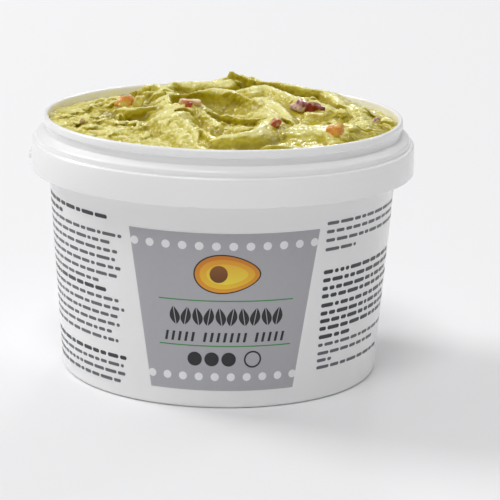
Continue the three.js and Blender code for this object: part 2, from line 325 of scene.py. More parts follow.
# White polypropylene, injection moulded: satin, faintly uneven in gloss, a little translucent.
# Inside, above the dip, it is smeared with a thin yellow film, most at the back left.
tub_plastic, tub_plastic_out = new_material("white_polypropylene")
where = add_node(tub_plastic, "ShaderNodeTexCoord").outputs["Object"]
axis = add_node(tub_plastic, "ShaderNodeSeparateXYZ", links={"Vector": where})
flat = add_node(tub_plastic, "ShaderNodeVectorMath", {"operation": "MULTIPLY", 1: (1, 1, 0)},
                {0: where})
from_axis = add_node(tub_plastic, "ShaderNodeVectorMath", {"operation": "LENGTH"},
                     {0: flat.outputs[0]})
outside = add_node(tub_plastic, "ShaderNodeMath", {
    "operation": "MULTIPLY_ADD", 1: wall_lean, 2: base_radius * MM}, {0: axis.outputs["Z"]})
depth = add_node(tub_plastic, "ShaderNodeMath", {"operation": "SUBTRACT"},
                 {0: outside.outputs[0], 1: from_axis.outputs["Value"]})
inner = add_node(tub_plastic, "ShaderNodeMapRange", {
    "From Min": 0.55 * MM, "From Max": 0.9 * MM}, {"Value": depth.outputs[0]})
below_rim = add_node(tub_plastic, "ShaderNodeMapRange", {
    "From Min": (tub_height - 0.1) * MM, "From Max": (tub_height - 0.8) * MM,
}, {"Value": axis.outputs["Z"]})
to_back_left = add_node(tub_plastic, "ShaderNodeVectorMath", {
    "operation": "DOT_PRODUCT", 1: (-0.85, 0.5, 0)}, {0: where})
side = add_node(tub_plastic, "ShaderNodeMapRange", {
    "From Min": -20 * MM, "From Max": 45 * MM, "To Min": 0.25,
}, {"Value": to_back_left.outputs["Value"]})
patchy = add_node(tub_plastic, "ShaderNodeMapRange", {
    "From Min": 0.35, "From Max": 0.7, "To Min": 0.1}, {"Value": noise(tub_plastic, where, 7, 4)})
film = inner.outputs[0]
for layer in (below_rim, side, patchy):
    film = add_node(tub_plastic, "ShaderNodeMath", {"operation": "MULTIPLY"},
                    {0: film, 1: layer.outputs[0]}).outputs[0]
tub_colour = add_node(tub_plastic, "ShaderNodeMix", {
    "data_type": "RGBA", 6: linear("#f7f7f7"), 7: linear("#fdf8da")}, {0: film})
gloss = add_node(tub_plastic, "ShaderNodeMapRange", {"To Min": 0.17, "To Max": 0.27},
                 {"Value": noise(tub_plastic, where, 18, 3)})
mould_grain = add_node(tub_plastic, "ShaderNodeBump", {"Strength": 0.08, "Distance": 0.05 * MM},
                       {"Height": noise(tub_plastic, where, 0.6)})
set_surface(tub_plastic, tub_plastic_out, {
    "IOR": 1.49, "Subsurface Weight": 0.12, "Subsurface Scale": 2 * MM, "Subsurface Radius": (1, 1, 1),
}, {"Base Color": tub_colour.outputs[2], "Roughness": gloss.outputs[0],
    "Normal": mould_grain.outputs["Normal"]})
tub.data.materials.append(tub_plastic)
take(tub)
bpy.ops.object.shade_smooth_by_angle(angle=math.radians(40))
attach(tub, "root")
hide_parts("tub")


# The print: satin screen inks on the front and the sides of the wall, a few hundredths of a
# millimetre thick, in plain motifs. Places are degrees round the tub from the front, to its
# right, and heights in mm.
print_radius = 49.3
per_degree = math.radians(1) * print_radius
ink_depth = 0.06


def lay_on_wall(piece, lift):
    """Gives a flat shape, drawn in mm with x along the wall and y up, its thickness and lays
    it round the tub's wall, its face that far off the plastic."""
    take(piece)
    bpy.ops.object.transform_apply(location=True, rotation=True, scale=True)
    bpy.ops.object.mode_set(mode="EDIT")
    bpy.ops.mesh.select_all(action="SELECT")
    bpy.ops.mesh.remove_doubles(threshold=0.002)
    bpy.ops.mesh.extrude_region_move(TRANSFORM_OT_translate={"value": (0, 0, ink_depth)})
    bpy.ops.mesh.select_all(action="SELECT")
    bpy.ops.mesh.normals_make_consistent(inside=False)
    bpy.ops.object.mode_set(mode="OBJECT")
    drawn = read_places(piece)
    angle = drawn[:, 0] / print_radius
    radius = outer_radius(drawn[:, 1]) + drawn[:, 2] - ink_depth + lift
    laid = np.stack([radius * np.sin(angle), -radius * np.cos(angle), drawn[:, 1]], axis=1)
    write_places(piece, laid * MM)


def outline_mesh(name, outlines):
    """One flat mesh of many outlines, each a list of points in mm."""
    points, faces = [], []
    for outline in outlines:
        faces.append(range(len(points), len(points) + len(outline)))
        points.extend((x, y, 0) for x, y in outline)
    mesh = bpy.data.meshes.new(name)
    mesh.from_pydata(points, [], [list(face) for face in faces])
    piece = bpy.data.objects.new(name, mesh)
    bpy.context.collection.objects.link(piece)
    return piece


def strip(low, high):
    """Slices between a lower and an upper edge, given point by point, so that a wide shape
    bends round the wall."""
    return [[low[i], low[i + 1], high[i + 1], high[i]] for i in range(len(low) - 1)]


def bar(x, y, width, height):
    """A bar from its lower left corner, its corners cut at a slant."""
    cut = 0.3 * min(width, height)
    middle = np.linspace(x + cut, x + width - cut, max(2, round(width)))
    low = [(x, y + cut), *((at, y) for at in middle), (x + width, y + cut)]
    high = [(at, 2 * y + height - level) for at, level in low]
    return strip(low, high)


def disc(x, y, radius):
    """A round spot about its middle."""
    turns = np.linspace(math.pi, 0, 17)
    high = [(x + radius * math.cos(a), y + radius * math.sin(a)) for a in turns]
    low = [(x + radius * math.cos(a), y - radius * math.sin(a)) for a in turns]
    return strip(low, high)


def ink(name, first, second, fade=None):
    """A screen ink, duller than the plastic that it is pressed on. Its cover is a little
    uneven, or it fades from one colour to the other between two heights in mm."""
    material, out = new_material(name)
    place = add_node(material, "ShaderNodeTexCoord").outputs["Object"]
    cover = noise(material, place, 1.5, 4)
    share = cover
    if fade:
        level = add_node(material, "ShaderNodeSeparateXYZ", links={"Vector": place})
        share = add_node(material, "ShaderNodeMapRange", {
            "From Min": fade[0] * MM, "From Max": fade[1] * MM,
        }, {"Value": level.outputs["Z"]}).outputs[0]
    tint = add_node(material, "ShaderNodeMix", {
        "data_type": "RGBA", 6: linear(first), 7: linear(second)}, {0: share})
    film_edge = add_node(material, "ShaderNodeBump", {"Strength": 0.1, "Distance": 0.05 * MM},
                         {"Height": cover})
    set_surface(material, out, {"Roughness": 0.38, "IOR": 1.45},
                {"Base Color": tint.outputs[2], "Normal": film_edge.outputs["Normal"]})
    return material


def finish_print(piece, material, lift):
    """Lays a print on the wall, inks it and fixes it to the tub."""
    lay_on_wall(piece, lift)
    piece.data.materials.append(material)
    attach(piece, "root")


# The grey panel, narrower at its foot
panel_top, panel_bottom = 52.0, 5.5
panel_top_ends = (-30.5, 33.0)
panel_bottom_ends = (-23.6, 26.4)
grey_ink = ink("grey_screen_ink", "#aeaeb2", "#b3b3b7")
bpy.ops.object.select_all(action="DESELECT")
bpy.ops.mesh.primitive_grid_add(x_subdivisions=72, y_subdivisions=16, size=1)
panel = new_shape("grey_print_panel")
drawn = read_places(panel)
left_end = np.interp(drawn[:, 1], (-0.5, 0.5), (panel_bottom_ends[0], panel_top_ends[0]))
right_end = np.interp(drawn[:, 1], (-0.5, 0.5), (panel_bottom_ends[1], panel_top_ends[1]))
drawn[:, 0] = (left_end + (drawn[:, 0] + 0.5) * (right_end - left_end)) * per_degree
drawn[:, 1] = panel_bottom + (drawn[:, 1] + 0.5) * (panel_top - panel_bottom)
write_places(panel, drawn)
finish_print(panel, grey_ink, 0.04)

# The white dots in a row near its top and its foot
dot_radius = 1.2
dot_pitch = 5.436
top_row, bottom_row = 48.3, 9.65
white_ink = ink("white_screen_ink", "#ececee", "#f2f2f3")
dots = []
for first, count, height in ((-28.6, 12, top_row), (-23.0, 10, bottom_row)):
    for number in range(count):
        dots += disc((first + number * dot_pitch) * per_degree, height, dot_radius)
finish_print(outline_mesh("white_print_dots", dots), white_ink, 0.06)

# Two thin green lines, above and below the leaves
green_ink = ink("green_screen_ink", "#3f8a45", "#489350")
line_height = 0.34
lines = []
for start, end, height in ((-20.3, 24.5, 32.3), (-20.2, 24.4, 18.88)):
    middles = [(turn * per_degree, height) for turn in np.linspace(start, end, 40)]
    lines += strip([(x, y - line_height / 2) for x, y in middles],
                   [(x, y + line_height / 2) for x, y in middles])
finish_print(outline_mesh("green_print_lines", lines), green_ink, 0.06)

# A row of upright leaves that lean to one side and the other, each in two halves
dark_ink = ink("dark_screen_ink", "#242428", "#2c2c31")
leaf_count = 10
leaf_height, leaf_width = 5.3, 2.7
leaf_slant = 0.16
vein_half = 0.12
leaves_start, leaves_end, leaves_foot = -16.8, 21.3, 24.95
leaves = []
for number in range(leaf_count):
    middle = leaves_start + (number + 0.5) * (leaves_end - leaves_start) / leaf_count
    slant = leaf_slant if number % 2 else -leaf_slant
    for way in (-1, 1):
        half = []
        for t in np.linspace(0, 1, 13):
            bulge = vein_half + leaf_width / 2 * math.sin(math.pi * t ** 0.85)
            half.append((way * bulge, t * leaf_height))
        for t in np.linspace(1, 0, 13):
            half.append((way * vein_half, t * leaf_height))
        if way < 0:
            half.reverse()
        leaves.append([(middle * per_degree + x + slant * (y - leaf_height / 2), leaves_foot + y)
                       for x, y in half])
# Below them, three groups of slanted bars
slanted_foot, slanted_top = 20.1, 22.9
slanted_width, slanted_reach, slanted_pitch = 0.75, 0.5, 1.9 / per_degree
for start, end in ((-18.3, -7.0), (-5.4, 10.2), (11.8, 22.8)):
    for turn in np.arange(start, end - 0.5 * slanted_pitch, slanted_pitch):
        x = turn * per_degree
        leaves.append([(x, slanted_foot), (x + slanted_width, slanted_foot),
                       (x + slanted_width + slanted_reach, slanted_top),
                       (x + slanted_reach, slanted_top)])
# At the foot, three discs and a ring
foot_row = 14.95
disc_radius = 2.1
for turn in (-8.1, -2.4, 3.3):
    leaves += disc(turn * per_degree, foot_row, disc_radius)
ring_middle, ring_radii = 11.4 * per_degree, (2.05, 2.55)
ring_edges = [[(ring_middle + radius * math.cos(a), foot_row + radius * math.sin(a))
               for a in np.linspace(0, 2 * math.pi, 33)] for radius in ring_radii]
leaves += strip(*ring_edges)
finish_print(outline_mesh("dark_print_shapes", leaves), dark_ink, 0.06)

# The badge above the leaves: half an avocado lying on its side, one ink over the other, wide at
# the left and narrow at the right
badge_middle, badge_height = 2.25 * per_degree, 40.2
badge_narrowing = 0.32
badge_layers = (
    ("rind", "#28271e", "#28271e", 18.8, 12.8, 0.06),
    ("skin", "#e8a02c", "#cf7a22", 18.0, 12.0, 0.08),
    ("flesh", "#f0c832", "#e3962a", 15.4, 9.6, 0.1),
    ("heart", "#f3dc45", "#edb835", 11.6, 6.6, 0.12),
)
for part_name, foot_colour, top_colour, length, width, lift in badge_layers:
    turns = np.linspace(math.pi, 0, 33)
    middles = [badge_middle + length / 2 * math.cos(a) for a in turns]
    halves = [width / 2 * math.sin(a) * (1 - badge_narrowing * (0.5 + 0.5 * math.cos(a)) ** 1.5)
              for a in turns]
    layer = strip([(x, badge_height - half) for x, half in zip(middles, halves)],
                  [(x, badge_height + half) for x, half in zip(middles, halves)])
    layer_ink = ink("badge_" + part_name + "_ink", foot_colour, top_colour,
                    (badge_height - width / 2, badge_height + width / 2))
    finish_print(outline_mesh("badge_print_" + part_name, layer), layer_ink, lift)
stone_middle, stone_radius = badge_middle - 2.4, 2.5
stone_ink = ink("badge_stone_ink", "#6d3f18", "#8a5522", (badge_height - 2.7, badge_height + 2.7))
stone = outline_mesh("badge_print_stone", disc(stone_middle, badge_height, stone_radius))
finish_print(stone, stone_ink, 0.14)

# Rows of plain short bars on both sides, some of them heavier. On the left each row is its
# number from the first, its end and whether it is heavy, and on the right its height, its end
# and the same.
row_pitch = 2.42
first_row = 48.5
left_rows = [
    (-2, -37.9, 1), (-1, -64.7, 1), (0, -33.6, 0), (1, -37.3, 0), (2, -35.5, 0), (3, -36.5, 0),
    (4, -34.4, 0), (5, -36.0, 0), (6, -43.4, 0), (7, -39.7, 1), (8, -35.7, 0), (9, -33.4, 0),
    (10, -34.9, 0), (11, -35.6, 0), (12, -37.8, 0), (13, -36.4, 0), (15, -33.1, 1), (16, -34.5, 0),
    (17, -34.0, 0), (18, -36.1, 0),
]
right_rows = [
    (53.2, 81, 0), (50.76, 79, 0), (48.2, 82, 0), (45.5, 49.7, 0), (38.69, 80, 1), (36.24, 81, 1),
    (33.76, 78, 1), (31.47, 82, 1), (28.72, 80, 1), (26.3, 77, 1), (24.0, 81, 1), (21.7, 79, 1),
    (19.19, 50.6, 1), (16.86, 80, 0), (14.34, 70, 0), (12.2, 42.2, 0), (10.07, 76, 0),
]
margin_left, margin_right = -82.0, 35.8
light_bar_height, heavy_bar_height = 0.95, 1.15
shortest_end = 0.8
random = np.random.default_rng(21)
light_bars, heavy_bars = [], []
rows = [(first_row - row_pitch * index, margin_left, end, heavy) for index, end, heavy in left_rows]
rows += [(height, margin_right, end, heavy) for height, end, heavy in right_rows]
for height, start, end, heavy in rows:
    x, stop = start * per_degree, end * per_degree
    bars, bar_height = (heavy_bars, heavy_bar_height) if heavy else (light_bars, light_bar_height)
    while x < stop - shortest_end:
        width = min(random.uniform(1.4, 5.2), stop - x)
        bars.extend(bar(x, height - 0.5, width, bar_height))
        x += width + random.uniform(0.55, 0.75)
faint_ink = ink("small_print_ink", "#5c5c61", "#6a6a6f")
heavy_ink = ink("heavy_small_print_ink", "#333338", "#3e3e43")
finish_print(outline_mesh("small_print_bars", light_bars), faint_ink, 0.04)
finish_print(outline_mesh("heavy_small_print_bars", heavy_bars), heavy_ink, 0.04)


# The guacamole: a heavy, moist avocado mash with bits of vegetable in it, heaped in the tub by
# hand in strokes: folded crests, smooth scooped faces, one standing peak, and a rough, lumpy
# mash where it was only dropped in. It touches the tub's wall all round.
edge_below_rim = 1.9
edge_tilt = 0.9
dome_rise = 2.9
stroke_fall = 3
settle_width = 3
dip_grid = 300
wall_overlap = 0.15
crest_lean = 0.8
peak_limit = 8.0
wander_far, wander_near = 0.35, 0.1
crest_unevenness = 0.3
streak_depth = 0.1


def smooth_higher(a, b, blend):
    """The higher of two heights, rounded where they are about equal."""
    share = np.clip(0.5 + 0.5 * (a - b) / blend, 0, 1)
    return b * (1 - share) + a * share + blend * share * (1 - share)


def smooth_lower(a, b, blend):
    return -smooth_higher(-a, -b, blend)


def curve_through(route, steps=8):
    """Points on a smooth curve that passes through the route's points."""
    points = np.array(route, float)
    if len(points) == 2:
        share = np.linspace(0, 1, steps + 1)[:, None]
        return points[0] * (1 - share) + points[1] * share
    before = 2 * points[0] - points[1]
    after = 2 * points[-1] - points[-2]
    padded = np.vstack([before, points, after])
    line = []
    for a, b, c, d in zip(padded, padded[1:], padded[2:], padded[3:]):
        for t in np.arange(steps) / steps:
            line.append(0.5 * (2 * b + (c - a) * t + (2 * a - 5 * b + 4 * c - d) * t ** 2
                               + (3 * b - a - 3 * c + d) * t ** 3))
    return np.array(line + [points[-1]])


def nearest(line, x, y):
    """For each place: how far the line is, on which side, its height there and the share of
    it that lies before, and the line's length."""
    distance = np.full(x.shape, np.inf)
    side, height, along = np.ones(x.shape), np.zeros(x.shape), np.zeros(x.shape)
    run = 0
    for start, end in zip(line, line[1:]):
        dx, dy = end[:2] - start[:2]
        length = math.hypot(dx, dy)
        share = np.clip(((x - start[0]) * dx + (y - start[1]) * dy) / length ** 2, 0, 1)
        off_x = x - start[0] - share * dx
        off_y = y - start[1] - share * dy
        off = np.hypot(off_x, off_y)
        closer = off < distance
        distance = np.where(closer, off, distance)
        side = np.where(closer, np.sign(dx * off_y - dy * off_x), side)
        height = np.where(closer, start[2] + share * (end[2] - start[2]), height)
        along = np.where(closer, run + share * length, along)
        run += length
    return distance, side, height, along / run, run


def lumps(x, y, size, seed):
    """Smooth noise from -1 to 1 whose lumps lie about the given size apart."""
    values = np.random.default_rng(seed).uniform(-1, 1, (97, 97))
    u, v = x / size + 500, y / size + 500
    i, j = np.floor(u).astype(int), np.floor(v).astype(int)
    s, t = u - i, v - j
    s, t = s * s * (3 - 2 * s), t * t * (3 - 2 * t)
    i, j, k, m = i % 97, j % 97, (i + 1) % 97, (j + 1) % 97
    near_row = values[i, j] * (1 - s) + values[k, j] * s
    far_row = values[i, m] * (1 - s) + values[k, m] * s
    return near_row * (1 - t) + far_row * t


def solid_lumps(points, size, seed):
    """The same noise in space, so that steep faces get lumps as round as flat ones."""
    count = 41
    values = np.random.default_rng(seed).uniform(-1, 1, (count, count, count))
    cell = np.floor(points / size).astype(int)
    share = points / size - cell
    share = share * share * (3 - 2 * share)
    total = np.zeros(len(points))
    for i in (0, 1):
        for j in (0, 1):
            for k in (0, 1):
                weight = np.abs(1 - i - share[:, 0]) * np.abs(1 - j - share[:, 1])
                weight = weight * np.abs(1 - k - share[:, 2])
                at = (cell + (i, j, k)) % count
                total += weight * values[at[:, 0], at[:, 1], at[:, 2]]
    return total


def pebbles(points, size, seed):
    """Rounded pebbles of about the given size in space, 1 on their tops and 0 between them."""
    count = 31
    random = np.random.default_rng(seed)
    offset = random.uniform(0.1, 0.9, (count, count, count, 3))
    tall = random.uniform(0.3, 1, (count, count, count))
    cell = np.floor(points / size).astype(int)
    best = np.zeros(len(points))
    for i in (-1, 0, 1):
        for j in (-1, 0, 1):
            for k in (-1, 0, 1):
                at = (cell + (i, j, k)) % count
                at = (at[:, 0], at[:, 1], at[:, 2])
                off = points / size - cell - (i, j, k) - offset[at]
                near = np.clip(1 - np.sum(off * off, axis=1) / 0.4, 0, 1)
                best = np.maximum(best, tall[at] * np.sqrt(near))
    return best


# Each stroke: raised or scooped, its route (x, y, height above the rim), its reach to the left
# and right (one number, or one for each end), how round its flank is, and how softly it joins
# what it is laid on. They follow one another as they were laid, from the back to the front.
strokes = [
    ("raise", [(-26.5, 29.5, 1.2), (-24, 26, 3.6), (-21.5, 23.5, 4.4), (-18, 14.5, 4.4)],
     7, 1.6, 1.5, 0.4),
    ("raise", [(-19, 12.5, 4.4), (-17, 17, 5), (-15, 21, 5.4), (-12.5, 21, 5.2)], 3.5, 3, 1.6, 0.4),
    ("raise", [(-12.5, 22, 4.8), (-10, 24, 5.2), (-6, 25.5, 5), (1, 25.5, 5.5)], 8, 4.5, 1.8, 0.5),
    ("raise", [(1, 27, 6), (8, 28, 6.2), (12.5, 25, 5.6), (18, 23.5, 5.4), (24.5, 20, 4.9),
               (30, 18, 4.2), (33, 11, 3.4), (35, 6.5, 2.6), (40, 4, 1.4)], 8, 2.4, 1.4, 0.4),
    ("raise", [(1.7, 28, 8.6), (3, 28, 7.9), (5.5, 27.5, 7), (8.5, 25.5, 6.2)],
     (1, 3), (0.9, 2.2), 1.2, 0.2),
    ("scoop", [(7, 21, 2.6), (14, 19, 2.6), (22, 13, 2.2), (29, 7, 1.6)], 3, 3, 2, 0.4),
    ("raise", [(3.5, 15, 4.9), (7, 16, 5.2), (11.5, 19.5, 5.5), (14.5, 17, 5.4), (18.5, 11, 5),
               (22.5, 5.5, 4.6), (26, 5.5, 4.4), (30, -1.5, 3.8), (33, -5, 3), (36, -9, 1.8)],
     4, (9, 4), 1.4, 0.3),
    ("raise", [(36.5, 16.5, 1.8), (39, 1.5, 1.6), (40, -11.5, 1.2), (41.5, -19, 0.6)],
     6, 7, 1.8, 0.6),
    ("raise", [(-20, 4, 2.4), (-16, -4, 3), (-14, -9, 3.6)], 4, 4, 1.8, 0.5),
    ("scoop", [(-25, 9, -1.2), (-21, 6, -1)], 3.5, 3.5, 2, 0.4),
    ("raise", [(-24, 18.5, 2.8), (-21.5, 15, 3.4), (-19, 13.5, 4), (-17.5, 13.5, 4.6)],
     5, 1.6, 1.3, 0.3),
    ("raise", [(-37.5, 18.5, 0.2), (-35, 18, 0.6), (-32.5, 12, 1.2), (-29.5, 3, 2)],
     4, 4, 1.6, 0.5),
    ("scoop", [(-28, -9, -3), (-24, -11, -3), (-20, -11, -1.5)], 5, 5, 2, 0.4),
    ("raise", [(-31, 0, 1.4), (-29.5, -2.5, 2), (-27, -5, 2.4), (-24, -5, 2.4), (-20, -1.5, 2.2)],
     4, 2.6, 1.8, 0.4),
    ("raise", [(-28.5, 1, 1.8), (-25, 1, 2.2), (-21.5, 1, 2)], 3, 3, 1.8, 0.4),
    ("raise", [(-10.5, -14, 6.3), (-13, -24, 4.3), (-11, -35, 2.5), (-7, -44, 0.6)],
     7, 7.5, 1.7, 0.6),
    ("raise", [(-10.5, -13.5, 6.4), (-13, -13.5, 6.1), (-15, -15, 5.4), (-18, -20.5, 3.8),
               (-21, -23.5, 2.4), (-25, -27, 1)], (5, 12), 1.6, 1.5, 0.4),
    ("scoop", [(-13.5, -20.5, 3.5), (-11.5, -20.5, 3.1), (-9.5, -21.5, 3), (-7.5, -23, 2.8)],
     1.5, 1.5, 2, 0.2),
    ("raise", [(-15, 0.5, 4.6), (-15, 2.5, 5.6), (-13, 3, 5.8), (-10.5, 4.5, 6), (-5.5, 6, 6.2),
               (-2.5, 8, 6.2), (1, 6.5, 6.1), (3.5, 3.5, 5.8), (6, -1, 5.3), (8.5, -5, 4.6)],
     6, (2, 4), 1.5, 0.3),
    ("raise", [(8, -6, 4.4), (12, -12, 3.8), (15, -19, 3.2)], 5, 7, 1.8, 0.5),
    ("raise", [(6.5, -4.5, 4.8), (9.5, 1, 5), (11.5, 3.5, 5), (14, 1, 4.8), (16.5, -5, 4.2),
               (18.5, -13, 3.4), (19.5, -18, 2.6)], 3.4, 9, 1.4, 0.4),
    ("scoop", [(-9, 0, -1), (-4, -2, -1), (1, -4, -0.6), (6, -8, 1), (11, -11, 3)],
     6.4, 6, 2.8, 0.2),
    ("raise", [(-8, -15, 5.4), (-5.5, -17.5, 4.2), (-1.5, -17, 3.6), (2.5, -20, 3.4),
               (6, -22, 3.3), (10, -22, 3.2), (12.5, -21, 3.3)], 2.6, 2, 1.4, 0.3),
    ("scoop", [(-3, -22, 1.6), (2, -26, 1), (7, -27.5, 1)], 3.5, 3, 2, 0.3),
    ("raise", [(-9, -16.5, 5.8), (-7, -19.5, 5), (-4.5, -23.5, 4), (-2, -27.5, 3.4),
               (0.5, -30.5, 3.1), (4.5, -33, 2.9), (8, -33, 2.8), (11, -30.5, 3)],
     3, (2.5, 5.5), 1.4, 0.3),
    ("scoop", [(-2, -38, 0.3), (3, -40, 0.3), (8, -37, 0.7)], 3, 3, 2, 0.3),
    ("raise", [(12.5, -23.5, 3.8), (15, -24.5, 3.8), (16.5, -31, 3), (17, -36, 1.8)],
     2.4, 4, 1.5, 0.4),
    ("raise", [(-4, -45, 0.5), (-2.5, -45.5, 1.8), (-0.5, -46, 2.7), (3, -46, 3.3), (6, -44, 3.6),
               (8.5, -41, 3.8), (11.8, -32, 4.2), (14, -26, 4.2)], 3, (3.6, 6), 1.7, 0.3),
    ("raise", [(-12, -28.5, 4), (-10.5, -29.5, 3.9), (-9, -33.5, 3.4), (-7.5, -37.5, 2.5),
               (-7, -42.5, 1.2)], 1.5, 6, 1.3, 0.2),
    ("raise", [(-7.5, -37.5, 3), (-6, -37, 2.9), (-5, -39.5, 2.4), (-4, -43, 1.7),
               (-3, -45, 0.8)], 1.4, 2.4, 1.3, 0.2),
    ("raise", [(19, -30.5, 2.4), (23, -27.5, 2.8), (28, -26, 2.6), (32, -21.5, 2.4)],
     2.6, 9.5, 1.6, 0.4),
    ("scoop", [(18, -20, 0.8), (18.5, -25, 0.4)], 1.9, 1.9, 2, 0.3),
    ("raise", [(17.5, -32, 1.6), (19.5, -33, 1.8), (20.3, -29, 2.4), (19.8, -23, 3)],
     1.3, 1.6, 1.5, 0.3),
    ("raise", [(10.5, -49, -0.1), (12.5, -48, 0.9), (15, -47.5, 1.2), (18.5, -46.5, 0.6),
               (21, -46, -0.2)], 3, 3, 1.5, 0.3),
    ("raise", [(-32, -26, 0.2), (-28, -24, 0.5), (-24, -27.5, 0.9)], 6, 6, 1.6, 0.5),
    ("raise", [(-33.5, -15, 0), (-32, -7.5, 1), (-31, -6.5, 1.4)], 3, 3, 1.3, 0.4),
    ("scoop", [(-37, 0, -3.5), (-35, -4, -3.5), (-33, -9, -2)], 3.5, 3.5, 2, 0.3),
    ("raise", [(-48, -4, -1.2), (-45, 3, -0.4), (-41.5, 5, 0.2), (-39, 6.5, 0.3),
               (-37.5, 4, -0.4), (-35, -6, -0.6), (-33.5, -14, -0.2)], 2.5, 9, 1.5, 0.3),
]

# Small clods of mash that lie on the rest: place, reach and rise in mm.
clods = [
    (48.5, -3, 3.2, 1.7), (46.5, -10, 2.5, 1.0), (32.5, -11.5, 2.6, 1.0), (35, -7, 2.6, 1.0),
    (31, -37, 3.2, 1.0), (34, -31.5, 2.4, 0.9), (36.5, -24.5, 2.6, 0.9), (28, 7, 2.6, 0.9),
    (-32, -7.5, 2.2, 1.0), (-37, -8, 2, 0.9), (-36.5, -14, 2.2, 0.9), (-24, -27.5, 3, 0.8),
    (-43, 2, 2.6, 1.0), (-45.5, -5, 2.2, 1.0), (-41, -14.5, 2.4, 1.0), (-38, -22, 2.3, 0.9),
    (-31.5, -31, 2.4, 0.8), (-30, -19, 2.5, 0.9), (-26, -21, 1.9, 0.8), (-22, -35, 2.4, 0.8),
    (-34, 8, 2.4, 1.0), (-38.5, 12, 2.4, 1.0), (1, -29, 1.8, 0.7), (5.5, -27.5, 1.6, 0.7),
    (40, -20, 2.6, 0.9), (41, 3, 2.4, 0.8), (-33, 16, 2.2, 0.9),
]

# Where the mash is lumpy and where a stroke left it smooth: place and reach in mm, strength.
lumpy_patches = [
    (-42, -6, 14, 0.75), (-30, -26, 13, 0.75), (-17, -32, 9, 0.5), (4, -31, 7, 0.7),
    (42, -14, 10, 0.8), (30, -14, 7, 0.6), (-30, 12, 9, 0.8), (-2, 0, 6, 0.5),
]
smooth_patches = [
    (7, -42, 9, 0.9), (-6, -37, 5, 0.8), (-4, 6, 5, 0.8), (-24, -4, 6, 0.9),
    (27, -36, 10, 0.7), (18, -8, 6, 0.8), (20, 20, 8, 0.5), (33, 9, 8, 0.7),
]

# Where the mash was dragged into fine wet streaks, all of them one way
streaky_patches = [(40, -3, 9, 1.0), (20, 8, 5, 1.0), (21, -40, 6, 1.0), (-16, -26, 7, 0.6)]
streak_turn = math.radians(-58)


def patch_share(x, y, patches):
    """How much each place belongs to the patches, from 0 to their strength."""
    share = np.zeros(x.shape)
    for at_x, at_y, reach, strength in patches:
        off = ((x - at_x) ** 2 + (y - at_y) ** 2) / reach ** 2
        share = np.maximum(share, strength * np.exp(-off ** 2))
    return share


def dip_surface(x, y, wall_radius):
    """Height above the rim: the dome, the strokes, their fine streaks, the clods and the edge."""
    radius = np.hypot(x, y)
    edge = -edge_below_rim + edge_tilt * -y / np.maximum(radius, 1e-6)
    share = (radius / wall_radius) ** 2
    height = (dome_rise - edge_below_rim + 0.5) * (1 - share) + edge * share
    at_x = x + wander_far * lumps(x, y, 6.5, 1) + wander_near * lumps(x, y, 2.4, 2)
    at_y = y + wander_far * lumps(x, y, 6.5, 3) + wander_near * lumps(x, y, 2.4, 4)
    flow_along, flow_across = at_x, at_y
    for number, (kind, route, left, right, power, blend) in enumerate(strokes):
        distance, side, crest, along, length = nearest(curve_through(route), at_x, at_y)
        reach = np.where(side > 0, np.interp(along, (0, 1), np.broadcast_to(left, 2)),
                         np.interp(along, (0, 1), np.broadcast_to(right, 2)))
        fall = stroke_fall * (distance / reach) ** power
        if kind == "raise":
            uneven = np.exp(-distance / 1.2) * lumps(along * length, side, 2.2, 20 + number)
            laid = crest + crest_unevenness * uneven - fall
            on_top = laid > height
            height = smooth_higher(height, laid, blend)
        else:
            laid = crest + fall
            on_top = laid < height
            height = smooth_lower(height, laid, blend)
        flow_along = np.where(on_top, along * length + 40 * number, flow_along)
        flow_across = np.where(on_top, distance * side, flow_across)
    streaks = lumps(flow_along / 6, flow_across / 1.3, 1, 6)
    streaks += 0.5 * lumps(flow_along / 3, flow_across / 0.6, 1, 7)
    height = height + streak_depth * streaks
    for clod_x, clod_y, reach, clod_rise in clods:
        off = np.hypot(x - clod_x, y - clod_y) / reach + 0.25 * lumps(x, y, 1.6, 15)
        height = height + clod_rise * np.sqrt(np.clip(1 - off ** 2, 0, 1))
    settle = np.maximum(0, (radius - wall_radius + settle_width) / settle_width) ** 2
    edge = edge + 0.35 * lumps(x, y, 4, 12) + 0.15 * lumps(x, y, 1.5, 13)
    return np.minimum(height * (1 - settle) + edge * settle, peak_limit)


def round_grid(name, steps):
    """A flat grid of quads with a round border of radius 1, its squares evenly spread."""
    bpy.ops.object.select_all(action="DESELECT")
    bpy.ops.mesh.primitive_grid_add(x_subdivisions=steps, y_subdivisions=steps, size=2)
    piece = new_shape(name)
    places = read_places(piece)
    a, b = places[:, 0].copy(), places[:, 1].copy()
    wide = np.abs(a) >= np.abs(b)
    reach = np.where(wide, a, b)
    turn = np.where(wide, b / np.where(a == 0, 1, a), a / np.where(b == 0, 1, b))
    turn = turn * math.pi / 4
    places[:, 0] = np.where(wide, reach * np.cos(turn), reach * np.sin(turn))
    places[:, 1] = np.where(wide, reach * np.sin(turn), reach * np.cos(turn))
    write_places(piece, places)
    return piece


def blurred(values, steps, reach):
    """The values of a square grid, averaged over a reach of some squares."""
    field = values.reshape(steps + 1, steps + 1)
    width = int(round(reach))
    for _ in range(3):
        for axis in (0, 1):
            padded = np.pad(field, [(width, width) if k == axis else (0, 0) for k in (0, 1)], "edge")
            total = np.cumsum(np.insert(padded, 0, 0, axis=axis), axis=axis)
            last = np.take(total, range(2 * width + 1, total.shape[axis]), axis=axis)
            first = np.take(total, range(0, total.shape[axis] - 2 * width - 1), axis=axis)
            field = (last - first) / (2 * width + 1)
    return field.ravel()


